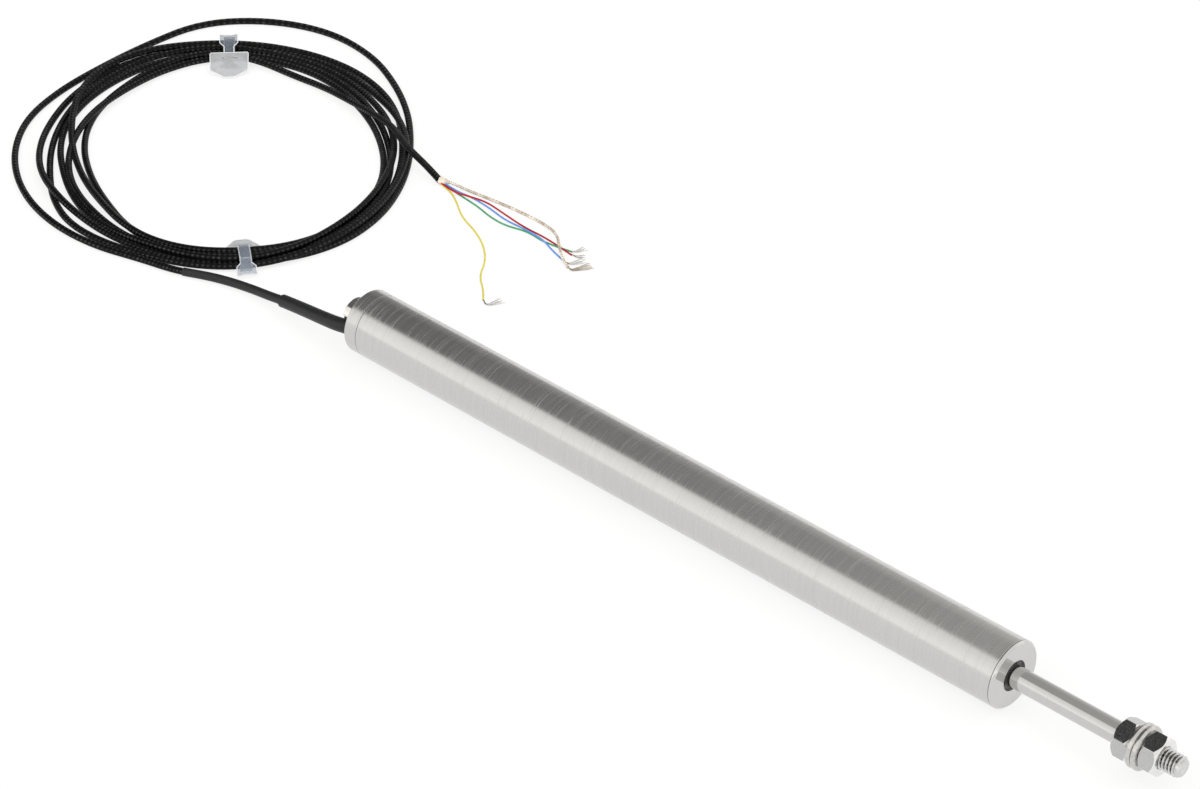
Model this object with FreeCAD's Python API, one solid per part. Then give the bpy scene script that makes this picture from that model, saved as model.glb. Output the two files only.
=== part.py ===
import FreeCAD, Part
import math
import os
from FreeCAD import Vector

# Linear variable differential transformer, lying on its side with its cable coiled behind it.
# Millimetres. X runs along the tube towards the push rod, Z is up.
# The origin is on the tube's axis, half way along the body.

# Body
body_diameter = 19.0
tube_wall = 1.0
front_rim_length = 0.9
front_rim_chamfer = 0.6
rear_rim_length = 4.7
rear_rim_chamfer = 0.4
located_gap = 0.02
o_ring_section = 1.0
o_ring_squeeze_room = 0.01
o_ring_groove_width = 1.3

# Front end cap and what it holds
front_groove_setback = 9.0
wiper_pocket_diameter = 8.6
wiper_recess = 0.8
wiper_length = 2.2
wiper_lip_length = 0.7
wiper_lip_gap = 0.05
cap_web = 1.0
cap_web_clearance = 0.3
bush_length = 11.0
bush_wall = 1.0
bush_mouth = 0.35
bush_gap = 0.03

# Push rod, its stud end and its hardware
rod_diameter = 6.0
rod_reach = 33.4
stud_tip_chamfer = 0.7
nut_flats = 10.0
nut_height = 5.0
nut_corner_drop = 0.55
nut_mouth = 0.5
washer_diameter = 12.3
washer_bore = 6.4
washer_thickness = 1.6
washer_edge = 0.35
stud_beyond_nut = 5.4
inner_nut_turn = 2.0
outer_nut_turn = -15.0
stem_diameter = 3.0

# Travel of the rod from where it lies, and the room left at each stop
travel_out = 103.0
travel_in = 3.0
stop_room = 0.3

# Core and its guides
guide_ring_length = 4.0
guide_ring_lead = 0.5
guide_ring_bore_gap = 0.04
guide_ring_outer_gap = 0.06
core_spacer_length = 3.5
core_spacer_wall = 0.9
core_length = 66.0
core_diameter = 5.6
core_nut_flats = 5.0
core_nut_length = 2.0
stem_side_gap = 0.1

# Bore liner, bobbin and windings
liner_bore = 7.4
liner_wall = 0.4
liner_end_wall = 0.8
liner_seat_depth = 2.0
bobbin_wall = 0.7
bobbin_flange_gap = 0.2
bobbin_flange_length = 2.0
winding_room = 0.63
primary_share = 0.34
insulation_depth = 0.15
winding_gap_length = 2.0
shield_wall = 0.6
shield_side_gap = 0.1

# Rear end cap, cable boss and what lies before them
rear_spigot_length = 10.0
rear_spacer_length = 14.9
rear_groove_setback = 4.0
rear_spacer_wall = 1.4
terminal_board_thickness = 1.6
terminal_board_setback = 5.4
terminal_board_gap = 0.2
terminal_count = 4
terminal_pitch_radius = 4.6
terminal_pin_diameter = 0.8
terminal_pin_tail = 1.5
inner_lead_diameter = 0.5
inner_lead_spread = 0.5
inner_lead_gap = 0.3
inner_cable_reach = 4.0
cable_bore_gap = 0.15
boss_diameter = 10.2
boss_height = 5.1
boss_bore = 7.8
boss_seat_diameter = 8.6
boss_seat_depth = 3.0
boss_edge = 0.3
boss_floor = 0.8
boss_slot_width = 6.4
boss_slot_angle = 108.0
grommet_side_gap = 0.05
grommet_depth = 3.8

# Cable, sleeves and wires
cable_diameter = 2.1
large_sleeve_diameter = 4.1
small_sleeve_diameter = 3.1
wire_diameter = 0.56
screen_diameter = 0.9
run_share = 0.45

# Coil: its centre behind the rear face and to the side, and the uneven ring that it lies in,
# as the angle about that centre, the radius left open there and the radius outside
coil_behind = 104.25
coil_aside = 41.0
coil_height = 5.8
coil_outline = [
    (-67.0, 50.2, 63.4), (-37.0, 55.6, 63.2), (-7.0, 52.9, 61.7), (23.0, 49.1, 57.5), (53.0, 45.9, 57.3),
    (83.0, 45.8, 65.7), (113.0, 49.5, 80.4), (143.0, 57.9, 81.4), (173.0, 50.3, 69.5),
    (203.0, 45.5, 66.8), (233.0, 40.5, 64.1), (263.0, 41.6, 62.0),
]

# Clips that hold the coil: angle and radius of each one's place, then its own sizes
far_clip_place = (136.4, 61.6)
near_clip_place = (-37.2, 59.4)
clip_sheet = 0.5
clip_bend = 1.0
clip_strap_width = 4.0
clip_inside_width = 7.6
clip_inside_height = 4.1
clip_plate_width = 13.0
clip_plate_length = 8.2
clip_plate_tilt = 22.0
clip_plate_corner = 3.4
clip_slot_length = 6.2
clip_slot_width = 1.5
clip_end_width = 6.5
clip_end_length = 3.6
clip_end_tilt = 62.0

# Places that follow from the sizes above. The body is as long as what it holds.
body_radius = body_diameter / 2
floor_z = -body_radius
front_stack = wiper_recess + wiper_length + cap_web + bush_length
core_stack = core_spacer_length + core_length + 2 * guide_ring_length + core_nut_length
liner_depth = stop_room + travel_out + core_stack + travel_in + stop_room
rear_stack = liner_end_wall + rear_spacer_length + rear_spigot_length + rear_rim_length
body_length = front_stack + liner_depth + rear_stack
front_face = body_length / 2
rear_face = -body_length / 2
tube_bore_radius = body_radius - tube_wall
spigot_radius = tube_bore_radius - located_gap
rod_radius = rod_diameter / 2
stem_radius = stem_diameter / 2
tube_front = front_face - front_rim_length
tube_rear = rear_face + rear_rim_length
wiper_front = front_face - wiper_recess
wiper_rear = wiper_front - wiper_length
bush_front = wiper_rear - cap_web
bush_rear = bush_front - bush_length
bush_radius = rod_radius + bush_wall
front_cap_rear = bush_rear - liner_seat_depth
liner_radius = liner_bore / 2
liner_outer_radius = liner_radius + liner_wall
rod_shoulder = bush_rear - travel_out - stop_room
core_front = rod_shoulder - guide_ring_length - core_spacer_length
core_rear = core_front - core_length
rear_guide_rear = core_rear - guide_ring_length
stem_end = rear_guide_rear - core_nut_length
liner_inner_end = stem_end - travel_in - stop_room
bobbin_front = front_cap_rear
bobbin_rear = liner_inner_end - liner_end_wall
bobbin_radius = liner_outer_radius + located_gap + bobbin_wall
shield_radius = tube_bore_radius - shield_side_gap
shield_bore_radius = shield_radius - shield_wall
secondary_radius = shield_bore_radius - winding_room
primary_radius = bobbin_radius + primary_share * (secondary_radius - bobbin_radius)
insulation_radius = primary_radius + insulation_depth
winding_front = bobbin_front - bobbin_flange_length
winding_rear = bobbin_rear + bobbin_flange_length
winding_middle = (winding_front + winding_rear) / 2
rear_spigot_front = tube_rear + rear_spigot_length
board_rear = bobbin_rear - terminal_board_setback - terminal_board_thickness
nut_place = front_face + rod_reach
washer_place = nut_place + nut_height
outer_nut_place = washer_place + 2 * washer_thickness
rod_tip = outer_nut_place + nut_height + stud_beyond_nut
boss_face = rear_face - boss_height
cable_radius = cable_diameter / 2
coil_centre = Vector(rear_face - coil_behind, coil_aside, floor_z)
inner_cable_end = rear_spigot_front + inner_cable_reach
boss_inner_floor = rear_face - boss_floor

# Cable routes, with x measured from the rear face. The first leaves the boss and runs back to the coil.
large_sleeve_route = [
    (-1.55, -4.35, -1.5), (-5.85, -5.05, -2.2), (-12.25, -5.2, -3.7),
    (-22.25, -3.4, -5.9), (-34.25, -3.2, -7.4),
]
small_sleeve_route = [
    (-34.31, -3.2, -7.41), (-38.65, -3.13, -7.95), (-47.25, -4.9, -7.95), (-57.25, -8.6, -7.95),
    (-68.25, -13.0, -7.95),
]
tail_route = [
    (-64.25, 79.6, -4.6), (-56.65, 77.8, -5.4), (-49.05, 75.0, -6.6), (-42.85, 71.2, -7.9),
]
red_route = [
    (-42.72, 70.88, -7.36), (-33.65, 72.4, -8.9), (-20.25, 75.6, -9.18),
    (-2.25, 75.0, -9.18), (11.15, 72.4, -9.18),
]
green_route = [
    (-42.85, 71.02, -8.47), (-33.85, 70.9, -9.1), (-20.25, 73.2, -9.18),
    (-3.25, 72.6, -9.18), (9.55, 70.4, -9.18),
]
blue_route = [
    (-43.03, 70.46, -7.68), (-34.05, 69.4, -8.9), (-20.25, 71.0, -9.18),
    (-4.25, 70.4, -9.18), (7.75, 67.0, -9.18),
]
yellow_route = [
    (-43.1, 70.53, -8.25), (-34.45, 67.2, -9.1), (-19.65, 63.0, -9.18),
    (-3.85, 50.6, -9.18), (8.95, 38.6, -9.18),
]
screen_route = [
    (-42.23, 71.47, -7.97), (-34.85, 75.6, -8.8), (-19.25, 79.4, -9.0),
    (-1.65, 77.4, -8.4), (6.95, 71.4, -8.1), (16.15, 67.8, -8.9),
]

AXIS = Vector(1, 0, 0)
UP = Vector(0, 0, 1)
FULL_TURN = 360.0
HALF_TURN = 180.0
HEX_SIDES = 6
SEAL_SIDES = 8
SAME_PLACE = 0.01


def cylinder(start, end, radius):
    """A plain round bar along X."""
    return Part.makeCylinder(radius, end - start, Vector(start, 0, 0), AXIS)


def sleeve(start, end, outer_radius, inner_radius):
    """A plain ring or tube along X."""
    return cylinder(start, end, outer_radius).cut(cylinder(start, end, inner_radius))


def turned(profile):
    """A solid turned about X from an outline of (x, radius) points."""
    points = [Vector(x, radius, 0) for x, radius in profile]
    face = Part.Face(Part.makePolygon(points + points[:1]))
    return face.revolve(Vector(), AXIS, FULL_TURN)


def around_axis(angle):
    """The unit direction across X at an angle from straight up, towards the viewer's side."""
    turn = math.radians(angle)
    return Vector(0, -math.sin(turn), math.cos(turn))


def o_ring(middle, outer_radius):
    """A seal ring whose outside meets a bore, its round section drawn with flats."""
    section = o_ring_section / 2
    centre_radius = outer_radius - o_ring_squeeze_room - section
    step = 2 * math.pi / SEAL_SIDES
    return turned([
        (middle + section * math.cos(step * side), centre_radius + section * math.sin(step * side))
        for side in range(SEAL_SIDES)
    ])


def groove(middle):
    """The ring-shaped cut that holds a seal ring in a spigot."""
    bottom = tube_bore_radius - o_ring_section - 2 * o_ring_squeeze_room
    half = o_ring_groove_width / 2
    return sleeve(middle - half, middle + half, tube_bore_radius, bottom)


def hexagon(start, end, flats, turn):
    """A hexagonal bar along X with one corner at an angle from straight up."""
    corner_radius = flats / 2 / math.cos(math.pi / HEX_SIDES)
    step = FULL_TURN / HEX_SIDES
    corners = [around_axis(turn + step * side) * corner_radius for side in range(HEX_SIDES)]
    outline = Part.makePolygon([Vector(start, c.y, c.z) for c in corners + corners[:1]])
    return Part.Face(outline).extrude(AXIS * (end - start))


def hex_nut(start, turn):
    """A hexagon nut with both faces chamfered to a circle and both thread mouths countersunk."""
    end = start + nut_height
    flat_radius = nut_flats / 2
    corner_radius = flat_radius / math.cos(math.pi / HEX_SIDES)
    crown = turned([
        (start, 0), (start, flat_radius), (start + nut_corner_drop, corner_radius),
        (end - nut_corner_drop, corner_radius), (end, flat_radius), (end, 0),
    ])
    thread_radius = rod_radius + located_gap
    mouth_radius = thread_radius + nut_mouth
    hole = turned([
        (start, 0), (start, mouth_radius), (start + nut_mouth, thread_radius),
        (end - nut_mouth, thread_radius), (end, mouth_radius), (end, 0),
    ])
    return hexagon(start, end, nut_flats, turn).common(crown).cut(hole)


def washer(start):
    """A plain washer with its rims broken."""
    end = start + washer_thickness
    rim = washer_diameter / 2
    hole = washer_bore / 2
    return turned([
        (start, hole), (start, rim - washer_edge), (start + washer_edge, rim),
        (end - washer_edge, rim), (end, rim - washer_edge), (end, hole),
    ])


def body_tube():
    """The steel tube between the two end caps."""
    return sleeve(tube_rear, tube_front, body_radius, tube_bore_radius)


def front_end_cap():
    """The turned plug whose chamfered rim closes the front of the tube."""
    pocket = wiper_pocket_diameter / 2
    web_bore = rod_radius + cap_web_clearance
    liner_seat = liner_outer_radius + located_gap
    plug = turned([
        (front_cap_rear, liner_seat), (front_cap_rear, spigot_radius), (tube_front, spigot_radius),
        (tube_front, body_radius), (front_face - front_rim_chamfer, body_radius),
        (front_face, body_radius - front_rim_chamfer), (front_face, pocket),
        (wiper_rear, pocket), (wiper_rear, web_bore), (bush_front, web_bore),
        (bush_front, bush_radius + located_gap), (bush_rear, bush_radius + located_gap),
        (bush_rear, liner_seat),
    ])
    return plug.cut(groove(front_face - front_groove_setback))


def front_cap_o_ring():
    return o_ring(front_face - front_groove_setback, tube_bore_radius)


def guide_bush():
    """The plain bearing that the push rod runs in, with a lead at each mouth."""
    bore = rod_radius + bush_gap
    return turned([
        (bush_rear, bore + bush_mouth), (bush_rear, bush_radius), (bush_front, bush_radius),
        (bush_front, bore + bush_mouth), (bush_front - bush_mouth, bore), (bush_rear + bush_mouth, bore),
    ])


def wiper_seal():
    """The rod wiper: a ring with a tapered lip that reaches for the rod at its outer end."""
    outer = wiper_pocket_diameter / 2 - located_gap
    lip = rod_radius + wiper_lip_gap
    relief = (outer + lip) / 2
    return turned([
        (wiper_rear, relief), (wiper_rear, outer), (wiper_front, outer),
        (wiper_front, relief), (wiper_front - wiper_lip_length / 2, lip),
        (wiper_front - wiper_lip_length, lip), (wiper_rear + wiper_lip_length, relief),
    ])


def push_rod():
    """The ground rod: a stud end outside, and a thin stem for the core inside."""
    return turned([
        (stem_end, 0), (stem_end, stem_radius), (rod_shoulder, stem_radius),
        (rod_shoulder, rod_radius), (rod_tip - stud_tip_chamfer, rod_radius),
        (rod_tip, rod_radius - stud_tip_chamfer), (rod_tip, 0),
    ])


def guide_ring(front):
    """A plastic ring that carries the core along the liner, free to turn on the stem."""
    rear = front - guide_ring_length
    outer = liner_radius - guide_ring_outer_gap
    bore = stem_radius + guide_ring_bore_gap
    return turned([
        (rear, bore), (rear, outer - guide_ring_lead), (rear + guide_ring_lead, outer),
        (front - guide_ring_lead, outer), (front, outer - guide_ring_lead), (front, bore),
    ])


def front_guide_ring():
    return guide_ring(rod_shoulder)


def rear_guide_ring():
    return guide_ring(core_rear)


def core():
    """The nickel iron core that couples the windings."""
    return sleeve(core_rear, core_front, core_diameter / 2, stem_radius + located_gap)


def core_spacer():
    """The tube that keeps the front guide ring off the core."""
    end = core_front + core_spacer_length - stem_side_gap
    return sleeve(core_front, end, stem_radius + core_spacer_wall, stem_radius + located_gap)


def core_nut():
    """The small nut that holds core and rings on the stem."""
    front = rear_guide_rear - stem_side_gap
    nut = hexagon(stem_end, front, core_nut_flats, 0)
    return nut.cut(cylinder(stem_end, front, stem_radius + located_gap))


def bore_liner():
    """The thin drawn tube, closed at its rear, that the core runs in."""
    shell = cylinder(bobbin_rear, bush_rear, liner_outer_radius)
    return shell.cut(cylinder(liner_inner_end, bush_rear, liner_radius))


def bobbin():
    """The former with a flange at each end that carries the windings."""
    flange = shield_bore_radius - bobbin_flange_gap
    bore = liner_outer_radius + located_gap
    return turned([
        (bobbin_rear, bore), (bobbin_rear, flange), (winding_rear, flange),
        (winding_rear, bobbin_radius), (winding_front, bobbin_radius),
        (winding_front, flange), (bobbin_front, flange), (bobbin_front, bore),
    ])


def primary_winding():
    return sleeve(winding_rear, winding_front, primary_radius, bobbin_radius)


def insulation_layer():
    return sleeve(winding_rear, winding_front, insulation_radius, primary_radius)


def winding_divider():
    """The ring that parts the two secondary windings."""
    half = winding_gap_length / 2
    return sleeve(winding_middle - half, winding_middle + half, secondary_radius, insulation_radius)


def front_secondary_winding():
    start = winding_middle + winding_gap_length / 2
    return sleeve(start, winding_front, secondary_radius, insulation_radius)


def rear_secondary_winding():
    end = winding_middle - winding_gap_length / 2
    return sleeve(winding_rear, end, secondary_radius, insulation_radius)


def magnetic_shield():
    """The high permeability tube around the windings."""
    return sleeve(bobbin_rear, bobbin_front, shield_radius, shield_bore_radius)


def rear_spacer():
    """The tube that holds bobbin and shield forward against the front cap."""
    return sleeve(rear_spigot_front, bobbin_rear, shield_radius, shield_radius - rear_spacer_wall)


def terminal_places():
    """The pins' places across X, evenly around the board."""
    step = FULL_TURN / terminal_count
    return [around_axis(step * pin + step / 2) * terminal_pitch_radius for pin in range(terminal_count)]


def pin_bar(place, start, end, radius):
    """A bar along X through one pin's place."""
    return Part.makeCylinder(radius, end - start, Vector(start, place.y, place.z), AXIS)


def terminal_board():
    """The round board on which winding ends and cable cores meet."""
    front = board_rear + terminal_board_thickness
    board = cylinder(board_rear, front, shield_radius - rear_spacer_wall - terminal_board_gap)
    hole = terminal_pin_diameter / 2 + located_gap
    return board.cut([pin_bar(place, board_rear, front, hole) for place in terminal_places()])


def terminal_pins():
    """The solder pins, standing on the bobbin's rear flange."""
    start = board_rear - terminal_pin_tail
    radius = terminal_pin_diameter / 2
    return Part.Compound([pin_bar(place, start, bobbin_rear, radius) for place in terminal_places()])


def inner_leads():
    """The four cable cores that run from the pins to the cable's inner end."""
    start_x = board_rear - terminal_pin_tail - inner_lead_gap
    end_x = inner_cable_end + inner_lead_gap
    leads = []
    for place in terminal_places():
        start = Vector(start_x, place.y, place.z)
        end = Vector(end_x, place.y, place.z)
        end.y *= inner_lead_spread / terminal_pitch_radius
        end.z *= inner_lead_spread / terminal_pitch_radius
        run = end - start
        leads.append(Part.makeCylinder(inner_lead_diameter / 2, run.Length, start, run))
    return Part.Compound(leads)


def inner_cable():
    """The cable's end inside the body, from the boss to where its cores part."""
    return cylinder(boss_inner_floor, inner_cable_end, cable_radius)


def rear_end_cap():
    """The turned plug that closes the rear of the tube and takes the cable boss."""
    cable_bore = cable_radius + cable_bore_gap
    seat = boss_seat_diameter / 2 + located_gap
    plug = turned([
        (rear_face, seat), (rear_face, body_radius - rear_rim_chamfer),
        (rear_face + rear_rim_chamfer, body_radius), (tube_rear, body_radius),
        (tube_rear, spigot_radius), (rear_spigot_front, spigot_radius),
        (rear_spigot_front, cable_bore), (rear_face + boss_seat_depth, cable_bore),
        (rear_face + boss_seat_depth, seat),
    ])
    return plug.cut(groove(tube_rear + rear_groove_setback))


def rear_cap_o_ring():
    return o_ring(tube_rear + rear_groove_setback, tube_bore_radius)


def slot_bar(width, start, end, reach):
    """A bar from the axis out along the slot's direction, for the boss's slot and what fills it."""
    bar = Part.makeBox(end - start, width, reach, Vector(start, -width / 2, 0))
    bar.rotate(Vector(), AXIS, boss_slot_angle)
    return bar


def cable_boss():
    """The shiny collar behind the rear cap, hollow and slotted on one side for the cable."""
    outer = boss_diameter / 2
    seat = boss_seat_diameter / 2
    cable_bore = cable_radius + cable_bore_gap
    collar = turned([
        (boss_face, boss_bore / 2), (boss_face, outer - boss_edge), (boss_face + boss_edge, outer),
        (rear_face, outer), (rear_face, seat), (rear_face + boss_seat_depth, seat),
        (rear_face + boss_seat_depth, cable_bore), (boss_inner_floor, cable_bore),
        (boss_inner_floor, boss_bore / 2),
    ])
    return collar.cut(slot_bar(boss_slot_width, boss_face, boss_inner_floor, boss_diameter))


def cable_grommet():
    """The black plug that fills the boss and its slot and grips the cable."""
    rear = boss_inner_floor - grommet_depth
    plug = cylinder(rear, boss_inner_floor, boss_bore / 2 - grommet_side_gap)
    tongue = slot_bar(boss_slot_width - 2 * grommet_side_gap, rear, boss_inner_floor, boss_diameter)
    tongue = tongue.common(cylinder(rear, boss_inner_floor, boss_diameter / 2 - boss_edge))
    return plug.fuse(tongue).removeSplitter()


def rounded_path(points):
    """Straight runs joined by tangent arcs, as large as the runs beside each point allow."""
    nodes = [Vector(rear_face + x, y, z) for x, y, z in points]
    edges = []
    radii = []
    start = nodes[0]
    for before, corner, after in zip(nodes, nodes[1:], nodes[2:]):
        incoming = (corner - before).normalize()
        outgoing = (after - corner).normalize()
        shorter = min((corner - before).Length, (after - corner).Length)
        half_turn = incoming.getAngle(outgoing) / 2
        setback = run_share * shorter
        radius = setback / math.tan(half_turn)
        bisector = (outgoing - incoming).normalize()
        arc_start = corner - incoming * setback
        arc_end = corner + outgoing * setback
        arc_middle = corner + bisector * (radius / math.cos(half_turn) - radius)
        edges.append(Part.LineSegment(start, arc_start).toShape())
        edges.append(Part.Arc(arc_start, arc_middle, arc_end).toShape())
        radii.append(radius)
        start = arc_end
    edges.append(Part.LineSegment(start, nodes[-1]).toShape())
    return Part.Wire(edges), radii


def cord_tube(name, points, diameter):
    """A round cord along a route, closed at both ends."""
    path, radii = rounded_path(points)
    start = path.Edges[0]
    ring = Part.Wire(Part.makeCircle(diameter / 2, start.valueAt(start.FirstParameter),
                                     start.tangentAt(start.FirstParameter)))
    tube = path.makePipeShell([ring], True, False)
    expected = math.pi * diameter ** 2 / 4 * path.Length
    print(f"{name}: length {path.Length:.1f}, tightest radius {min(radii):.1f},",
          f"volume {tube.Volume:.1f} of {expected:.1f}")
    return tube


def around_coil(angle, radius):
    """A place on the surface at an angle and radius about the coil's centre."""
    turn = math.radians(angle)
    return coil_centre + Vector(math.cos(turn), math.sin(turn), 0) * radius


def coil_plug(places):
    """An upright plug whose outline is a smooth closed curve through the given places."""
    outline = Part.BSplineCurve()
    outline.interpolate(places, PeriodicFlag=True)
    return Part.Face(Part.Wire(outline.toShape())).extrude(UP * coil_height)


def cable_coil():
    """The coiled cable's outer shape, with the clips' places left free."""
    outside = coil_plug([around_coil(angle, outer) for angle, inner, outer in coil_outline])
    opening = coil_plug([around_coil(angle, inner) for angle, inner, outer in coil_outline])
    return outside.cut([opening, far_coil_clip(), near_coil_clip()])


def clip_strap():
    """The strap's closed loop around the bundle: outside box less inside box, edges rounded."""
    half = clip_strap_width / 2
    inside_half = clip_inside_width / 2
    inside = Part.makeBox(clip_inside_width, clip_strap_width, clip_inside_height,
                          Vector(-inside_half, -half, clip_sheet))
    outside = Part.makeBox(clip_inside_width + 2 * clip_sheet, clip_strap_width,
                           clip_inside_height + 2 * clip_sheet, Vector(-inside_half - clip_sheet, -half, 0))
    return rounded_along_y(outside, clip_bend + clip_sheet).cut(rounded_along_y(inside, clip_bend))


def rounded_along_y(box, radius):
    """A box with the four edges that run along Y rounded."""
    size = box.BoundBox.YLength
    edges = [edge for edge in box.Edges if abs(edge.BoundBox.YLength - size) < SAME_PLACE]
    return box.makeFillet(radius, edges)


def clip_plate():
    """The head plate: a sheet with a slot and a rounded free end, sloping down from the strap."""
    half = clip_plate_width / 2
    sheet = Part.makeBox(clip_plate_length, clip_plate_width, clip_sheet, Vector(0, -half, 0))
    ends = [edge for edge in sheet.Edges if abs(edge.BoundBox.ZLength - clip_sheet) < SAME_PLACE
            and abs(edge.BoundBox.XMin - clip_plate_length) < SAME_PLACE]
    sheet = sheet.makeFillet(clip_plate_corner, ends)
    slot = Part.makeBox(clip_slot_width, clip_slot_length, clip_sheet,
                        Vector(clip_slot_width, -clip_slot_length / 2, 0))
    return sheet.cut(slot)


def clip_end():
    """The T-shaped end that stands up behind the strap."""
    half = clip_end_width / 2
    return Part.makeBox(clip_end_length, clip_end_width, clip_sheet, Vector(0, -half, 0))


def coil_clip(place):
    """One clip: strap, sloping head plate inside the coil and raised end outside it."""
    angle, radius = place
    side = clip_inside_width / 2 + clip_sheet
    plate = clip_plate()
    plate.rotate(Vector(), Vector(0, 1, 0), clip_plate_tilt)
    plate.translate(Vector(side - clip_bend, 0, clip_inside_height + clip_sheet / 2))
    end = clip_end()
    end.rotate(Vector(), Vector(0, 1, 0), -clip_end_tilt)
    end.rotate(Vector(), UP, HALF_TURN)
    end.translate(Vector(-side + clip_sheet, 0, clip_inside_height + clip_sheet))
    clip = clip_strap().fuse([plate, end]).removeSplitter()
    clip.rotate(Vector(), UP, angle + HALF_TURN)
    clip.translate(around_coil(angle, radius))
    return clip


def far_coil_clip():
    return coil_clip(far_clip_place)


def near_coil_clip():
    return coil_clip(near_clip_place)


def main():
    shapes = {
        "body_tube": body_tube(),
        "front_end_cap": front_end_cap(),
        "front_cap_o_ring": front_cap_o_ring(),
        "guide_bush": guide_bush(),
        "wiper_seal": wiper_seal(),
        "rear_end_cap": rear_end_cap(),
        "rear_cap_o_ring": rear_cap_o_ring(),
        "cable_boss": cable_boss(),
        "cable_grommet": cable_grommet(),
        "bore_liner": bore_liner(),
        "bobbin": bobbin(),
        "primary_winding": primary_winding(),
        "insulation_layer": insulation_layer(),
        "winding_divider": winding_divider(),
        "front_secondary_winding": front_secondary_winding(),
        "rear_secondary_winding": rear_secondary_winding(),
        "magnetic_shield": magnetic_shield(),
        "rear_spacer": rear_spacer(),
        "terminal_board": terminal_board(),
        "terminal_pins": terminal_pins(),
        "inner_leads": inner_leads(),
        "inner_cable": inner_cable(),
        "push_rod": push_rod(),
        "front_guide_ring": front_guide_ring(),
        "rear_guide_ring": rear_guide_ring(),
        "core": core(),
        "core_spacer": core_spacer(),
        "core_nut": core_nut(),
        "inner_nut": hex_nut(nut_place, inner_nut_turn),
        "inner_washer": washer(washer_place),
        "outer_washer": washer(washer_place + washer_thickness),
        "outer_nut": hex_nut(outer_nut_place, outer_nut_turn),
        "large_sleeve": cord_tube("large_sleeve", large_sleeve_route, large_sleeve_diameter),
        "small_sleeve": cord_tube("small_sleeve", small_sleeve_route, small_sleeve_diameter),
        "cable_coil": cable_coil(),
        "far_coil_clip": far_coil_clip(),
        "near_coil_clip": near_coil_clip(),
        "cable_tail": cord_tube("cable_tail", tail_route, cable_diameter),
        "red_wire": cord_tube("red_wire", red_route, wire_diameter),
        "green_wire": cord_tube("green_wire", green_route, wire_diameter),
        "blue_wire": cord_tube("blue_wire", blue_route, wire_diameter),
        "yellow_wire": cord_tube("yellow_wire", yellow_route, wire_diameter),
        "screen_braid": cord_tube("screen_braid", screen_route, screen_diameter),
    }
    os.makedirs("parts", exist_ok=True)
    for name, shape in shapes.items():
        shape.exportStep(os.path.join("parts", name + ".step"))


main()
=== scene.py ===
import math

import bmesh
import bpy
from mathutils import Matrix, Vector


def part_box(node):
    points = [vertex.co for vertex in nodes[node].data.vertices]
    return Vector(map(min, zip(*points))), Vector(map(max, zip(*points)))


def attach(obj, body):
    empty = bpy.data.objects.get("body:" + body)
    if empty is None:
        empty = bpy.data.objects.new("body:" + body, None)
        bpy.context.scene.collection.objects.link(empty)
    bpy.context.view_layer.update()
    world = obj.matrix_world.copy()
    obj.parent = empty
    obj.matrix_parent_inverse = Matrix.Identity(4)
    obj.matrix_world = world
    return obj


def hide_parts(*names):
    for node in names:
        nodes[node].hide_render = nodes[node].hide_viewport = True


# Displacement transducer with a push rod and a coiled cable. Sizes in millimetres, X along the tube.
MM = 0.001

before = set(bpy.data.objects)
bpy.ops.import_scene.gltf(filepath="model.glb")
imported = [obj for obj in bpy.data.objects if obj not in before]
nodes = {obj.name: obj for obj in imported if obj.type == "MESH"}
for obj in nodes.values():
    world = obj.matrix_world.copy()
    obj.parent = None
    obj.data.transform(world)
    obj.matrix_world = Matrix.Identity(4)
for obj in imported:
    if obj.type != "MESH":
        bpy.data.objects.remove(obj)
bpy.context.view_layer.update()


# Places and radii of the turned parts, from the frame

def turned_size(name):
    """Where a CAD node starts and ends along the tube, and its radius where it is round."""
    lowest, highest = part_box(name)
    radius = max(-lowest.y, highest.y, -lowest.z, highest.z)
    return [round(value / MM, 2) for value in (lowest.x, highest.x, radius)]


TUBE_REAR, TUBE_FRONT, BODY_R = turned_size("body_tube")
FRONT_CAP_REAR, FRONT = turned_size("front_end_cap")[:2]
REAR, REAR_CAP_FRONT = turned_size("rear_end_cap")[:2]
BUSH_REAR, BUSH_FRONT, BUSH_R = turned_size("guide_bush")
WIPER_REAR = turned_size("wiper_seal")[0]
BOSS_REAR, BOSS_FRONT, BOSS_R = turned_size("cable_boss")
ROD_SHOULDER = turned_size("front_guide_ring")[1]   # the rod's thick part ends against this ring
TIP, ROD_R = turned_size("push_rod")[1:]
FLOOR = -BODY_R         # the surface that everything lies on

SEAM = 0.12             # width of the line between the tube and each cap
CABLE_BORE_R = 1.2      # hole for the cable in the rear cap and in the boss's floor
BOSS_SEAT_R = 4.3       # the boss's foot, let into the rear cap
CORNER_STEPS = 3        # divisions of a rounded corner
SUPPORT = 0.05          # distance from a rounded corner to the next point of its flat face


# Materials

def new_material(name):
    mat = bpy.data.materials.new(name)
    mat.use_nodes = True
    tree = mat.node_tree
    shader = tree.nodes["Principled BSDF"]
    return mat, tree, shader


def node(tree, kind, **settings):
    made = tree.nodes.new(kind)
    for key, value in settings.items():
        setattr(made, key, value)
    return made


def scaled_coords(tree, scale):
    coords = node(tree, "ShaderNodeTexCoord")
    mapping = node(tree, "ShaderNodeMapping")
    mapping.inputs["Scale"].default_value = scale
    tree.links.new(coords.outputs["Object"], mapping.inputs["Vector"])
    return mapping.outputs["Vector"]


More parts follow.
